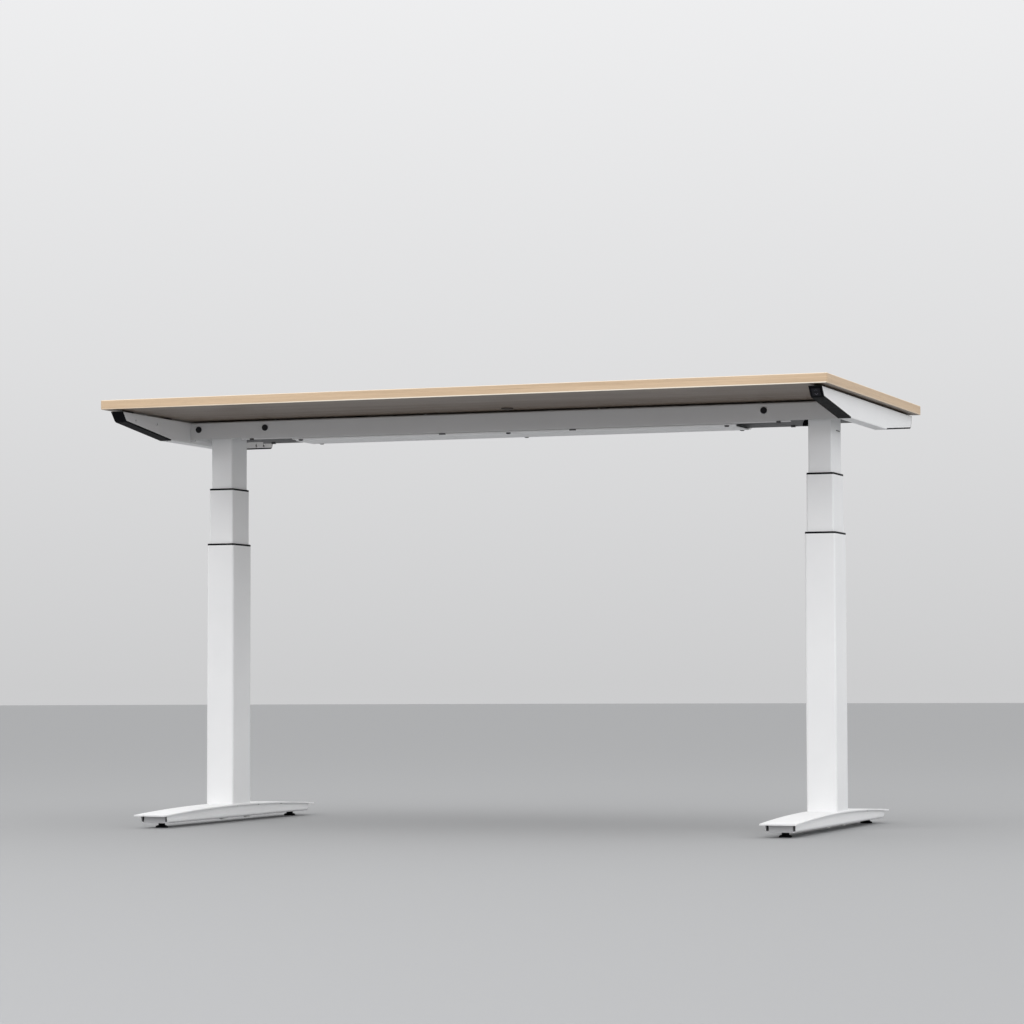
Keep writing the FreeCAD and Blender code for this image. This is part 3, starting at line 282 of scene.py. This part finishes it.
def grain(p, along, light, dark):
    """Oak figure: broad bands, wavy growth lines, streaks, short pores and pale flecks.

    along stretches the pattern on each axis; the small numbers run with the grain."""
    x, y, z = along
    sway = p.noise(1, 2, 0.5, p.stretched((x * 0.7, y * 0.10, z * 0.10)))
    band = p.noise(1, 3, 0.5, p.stretched((x * 0.8, y * 0.35, z * 0.35)), 0.3)
    growth = p.noise(1, 6, 0.62, p.stretched((x, y * 1.6, z * 1.6)), 0.9)
    figure = p.maths("ADD", p.maths("MULTIPLY", band, 0.45), p.maths("MULTIPLY", growth, 0.40))
    figure = p.maths("ADD", figure, p.maths("MULTIPLY", sway, 0.15))
    middle = tuple(0.45 * a + 0.55 * b for a, b in zip(light, dark))
    colour = p.ramp(figure, (0.40, dark), (0.49, middle), (0.60, light))
    streak = p.noise(1, 5, 0.7, p.stretched((x * 3, y * 9, z * 9)), 0.4)
    colour = p.mix(p.grey(streak, 0.0, 0.55, 0.52, 0.70), colour, tuple(c * 0.74 for c in dark))
    pore = p.noise(1, 2, 0.6, p.stretched((x * 24, y * 40, z * 40)))
    pores = p.grey(pore, 0.0, 1.0, 0.58, 0.72)
    colour = p.mix(p.maths("MULTIPLY", pores, 0.45), colour, tuple(c * 0.52 for c in dark))
    fleck = p.noise(1, 3, 0.5, p.stretched((x * 7, y * 4, z * 4)))
    pale = tuple(min(1, c * 1.12) for c in light)
    colour = p.mix(p.grey(fleck, 0.0, 0.38, 0.58, 0.76), colour, pale)
    relief = p.maths("SUBTRACT", streak, p.maths("MULTIPLY", pores, 0.8))
    return colour, relief, growth


def oak_board():
    """Oak decor on the top face, in colours darker than the band's as painted shade; the underside is
    painted plain dark brown as painted shade.
    """
    p = Paint("oak_board")
    # the top's oak is darker than the band's: painted shade
    colour, relief, growth = grain(p, (1.0, 22, 22), SHADED_TOP_LIGHT, SHADED_TOP_DARK)
    facing = p.node("ShaderNodeNewGeometry").outputs["True Normal"]
    upward = p.node("ShaderNodeSeparateXYZ", Vector=facing).outputs["Z"]
    below = p.maths("LESS_THAN", upward, -0.5)
    # the underside is painted dark brown: painted shade
    mottle = p.noise(1, 4, 0.6, p.stretched((3, 26, 26)))
    underside_shade = p.ramp(mottle, (0.35, UNDERSIDE_SHADE_DARK), (0.65, UNDERSIDE_SHADE_LIGHT))
    rough = p.maths("SUBTRACT", p.grey(growth, 0.44, 0.56, 0.3, 0.7), p.maths("MULTIPLY", below, 0.12))
    return p.finish(Base_Color=p.mix(below, colour, underside_shade), Roughness=rough,
                    Normal=p.bump(relief, 0.00010, 0.5), Specular_IOR_Level=0.3)


def oak_band():
    """Glued edge band with the grain along it; a painted highlight lies along its arrises.

    The painted highlight on the lower arris is palest along the long sides, and faint on the short
    sides and near the left."""
    p = Paint("oak_band")
    colour, relief, growth = grain(p, (1.4, 1.4, 80), BAND_LIGHT, BAND_DARK)
    spot = p.node("ShaderNodeSeparateXYZ", Vector=p.place).outputs
    corners = nodes["edge_band"].bound_box
    heights = [corner[2] for corner in corners]
    middle = (min(heights) + max(heights)) / 2
    reach = max(corner[0] for corner in corners)
    off = p.maths("SUBTRACT", spot["Z"], middle)
    from_left = p.grey(spot["X"], FAINT, 1.0, LEFT_FADE[0] * reach, LEFT_FADE[1] * reach)
    to_right = p.grey(spot["X"], 1.0, FAINT, reach - RIGHT_FADE[0], reach - RIGHT_FADE[1])
    lower = p.grey(off, 1.0, 0.0, *LOWER_ARRIS)
    lower = p.maths("MULTIPLY", p.maths("MULTIPLY", lower, from_left), to_right)
    upper = p.grey(off, 0.0, 0.5, *UPPER_ARRIS)
    # painted highlight on the arrises
    colour = p.mix(p.maths("ADD", lower, upper), colour, ARRIS_HIGHLIGHT)
    return p.finish(Base_Color=colour, Roughness=p.grey(growth, 0.42, 0.54, 0.3, 0.7),
                    Normal=p.bump(relief, 0.00008, 0.5))


def plastic(name, colour, rough, pitch=1600, depth=0.00006, shine=0.5):
    """Moulded plastic: spark-eroded grain, small changes of gloss."""
    p = Paint(name)
    tint = p.mix(p.grey(p.noise(40, 3), 0, 0.35, 0.3, 0.7), colour,
                 tuple(min(1, c * 1.35 + 0.004) for c in colour))
    skin = p.bump(p.noise(pitch, 3, 0.6), depth, 0.8)
    gloss = p.grey(p.noise(120, 3), rough - 0.06, rough + 0.06, 0.3, 0.7)
    return p.finish(Base_Color=tint, Roughness=gloss, Normal=skin, Specular_IOR_Level=shine)


def steel(name, colour, rough, brushed=(1, 1, 1)):
    """Bare or plated steel with fine tool marks along the unstretched axis."""
    p = Paint(name)
    marks = p.noise(1, 4, 0.6, p.stretched(tuple(700 * b for b in brushed)))
    stain = p.noise(30, 4)
    tint = p.mix(p.grey(stain, 0, 0.5, 0.35, 0.75), colour, tuple(c * 0.72 for c in colour))
    gloss = p.grey(marks, rough - 0.08, rough + 0.12, 0.3, 0.7)
    skin = p.bump(marks, 0.00003, 0.6)
    return p.finish(Base_Color=tint, Metallic=1.0, Roughness=gloss, Normal=skin)


PAINTS = {
    "white_steel": powder_coat("white_powder_coat"),
    "oak_top": oak_board(),
    "oak_edge": oak_band(),
    "black_plastic": plastic("black_plastic", (0.005, 0.005, 0.0062), 0.55, shine=0.035),
    "key_plastic": plastic("key_plastic", (0.013, 0.013, 0.016), 0.46, 2600, 0.00003, 0.16),
    "pad_rubber": plastic("pad_rubber", (0.03, 0.03, 0.03), 0.75, 900, 0.0001),
    "zinc_steel": steel("zinc_steel", (0.60, 0.60, 0.58), 0.34),
    "screw_steel": steel("screw_steel", (0.45, 0.45, 0.46), 0.30, (1, 1, 0.2)),
    "black_steel": steel("black_steel", (0.055, 0.055, 0.058), 0.42),
    "motor_steel": steel("motor_steel", (0.36, 0.36, 0.38), 0.40, (1, 1, 0.2)),
    "slider_plastic": plastic("slider_plastic", (0.78, 0.78, 0.74), 0.42),
    "box_plastic": plastic("box_plastic", (0.035, 0.035, 0.04), 0.5),
    "board_green": plastic("board_green", (0.02, 0.13, 0.05), 0.35, 700),
    "lead_rubber": plastic("lead_rubber", (0.02, 0.02, 0.02), 0.6, 900),
}


def own_paint(node, material):
    """Give one piece a material of its own instead of its slot's."""
    nodes[node].data.materials[0] = material


def paint_channel_shade():
    """Painted shade: dark grey inside the beam, which opens downwards, and inside the feet, which open
    upwards.
    """
    low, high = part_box("crossbeam")
    half = -low[1] - SHEET / 2
    inside = ("Y", -half, half, low[2], high[2] - SHEET / 2)
    # painted shade: the whole beam's coat is greyed for the shade of the tabletop over it
    own_paint("crossbeam", powder_coat("beam_coat_painted_shade", painted_shade=0.40, channel=inside))
    for node in ("left_foot_body", "right_foot_body"):
        low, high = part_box(node)
        inside = ("X", low[0] + SHEET / 2, high[0] - SHEET / 2, low[2] + 0.95 * SHEET, high[2])
        own_paint(node, powder_coat(node + "_coat", channel=inside))


# ---------------------------------------------------------------- marks on the keys
def key_mark(node, along, way, ink):
    """A printed chevron on the face of one key, pointing up the nose (way 1) or down it (way -1)."""
    top = CHEVRON_RISE / 2
    outer = [(-CHEVRON_HALF, -top), (0, top), (CHEVRON_HALF, -top)]
    inner = [(u, v - CHEVRON_STROKE) for u, v in reversed(outer)]
    mesh = bpy.data.meshes.new(node + "_mark")
    shape = bmesh.new()
    rings = []
    for depth in PRINT_DEPTHS:
        ring = []
        for u, v in outer + inner:
            up = along + way * (v + CHEVRON_STROKE / 2)
            spot = NOSE_MIDDLE + NOSE_OUT * depth + NOSE_UP * up + Vector((u, 0, 0))
            ring.append(shape.verts.new(spot))
        rings.append(ring)
    for low, high in ((0, 1), (1, 2)):
        for ring in rings:
            shape.faces.new([ring[low], ring[high], ring[5 - high], ring[5 - low]])
    for index in range(6):
        after = (index + 1) % 6
        shape.faces.new([rings[0][index], rings[0][after], rings[1][after], rings[1][index]])
    bmesh.ops.recalc_face_normals(shape, faces=shape.faces)
    shape.to_mesh(mesh)
    shape.free()
    mark = bpy.data.objects.new(node + "_mark", mesh)
    scene.collection.objects.link(mark)
    mark.data.materials.append(ink)
    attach(mark, node)


key_mark("up_key", UP_MARK, 1, plastic("worn_print", (0.065, 0.062, 0.075), 0.55))
key_mark("down_key", DOWN_MARK, -1, plastic("key_print", (0.15, 0.145, 0.17), 0.55))


# ---------------------------------------------------------------- materials onto the pieces
for entry in frame["record"]["subparts"]:
    mesh = nodes[entry["node"]].data
    mesh.materials.clear()
    mesh.materials.append(PAINTS[entry["material_slot"]])

paint_channel_shade()
# painted shade: the recessed end plates' coat is greyed
own_paint("foot_end_plates", powder_coat("end_plate_coat_painted_shade", painted_shade=0.62))
# painted shade: the foot covers' coat is greyed a little
for node in ("left_foot_cover", "right_foot_cover"):
    own_paint(node, powder_coat(node + "_coat", painted_shade=0.08))
own_paint("edge_clips", plastic("clip_plastic", (0.07, 0.07, 0.073), 0.5))
own_paint("beam_plugs", plastic("plug_plastic", (0.026, 0.026, 0.028), 0.55, shine=0.035))
own_paint("underside_plug", plastic("brown_plastic", (0.045, 0.036, 0.030), 0.5))


# ---------------------------------------------------------------- the set
scene.view_settings.view_transform = "Standard"
add_camera()
add_floor()
add_lights()
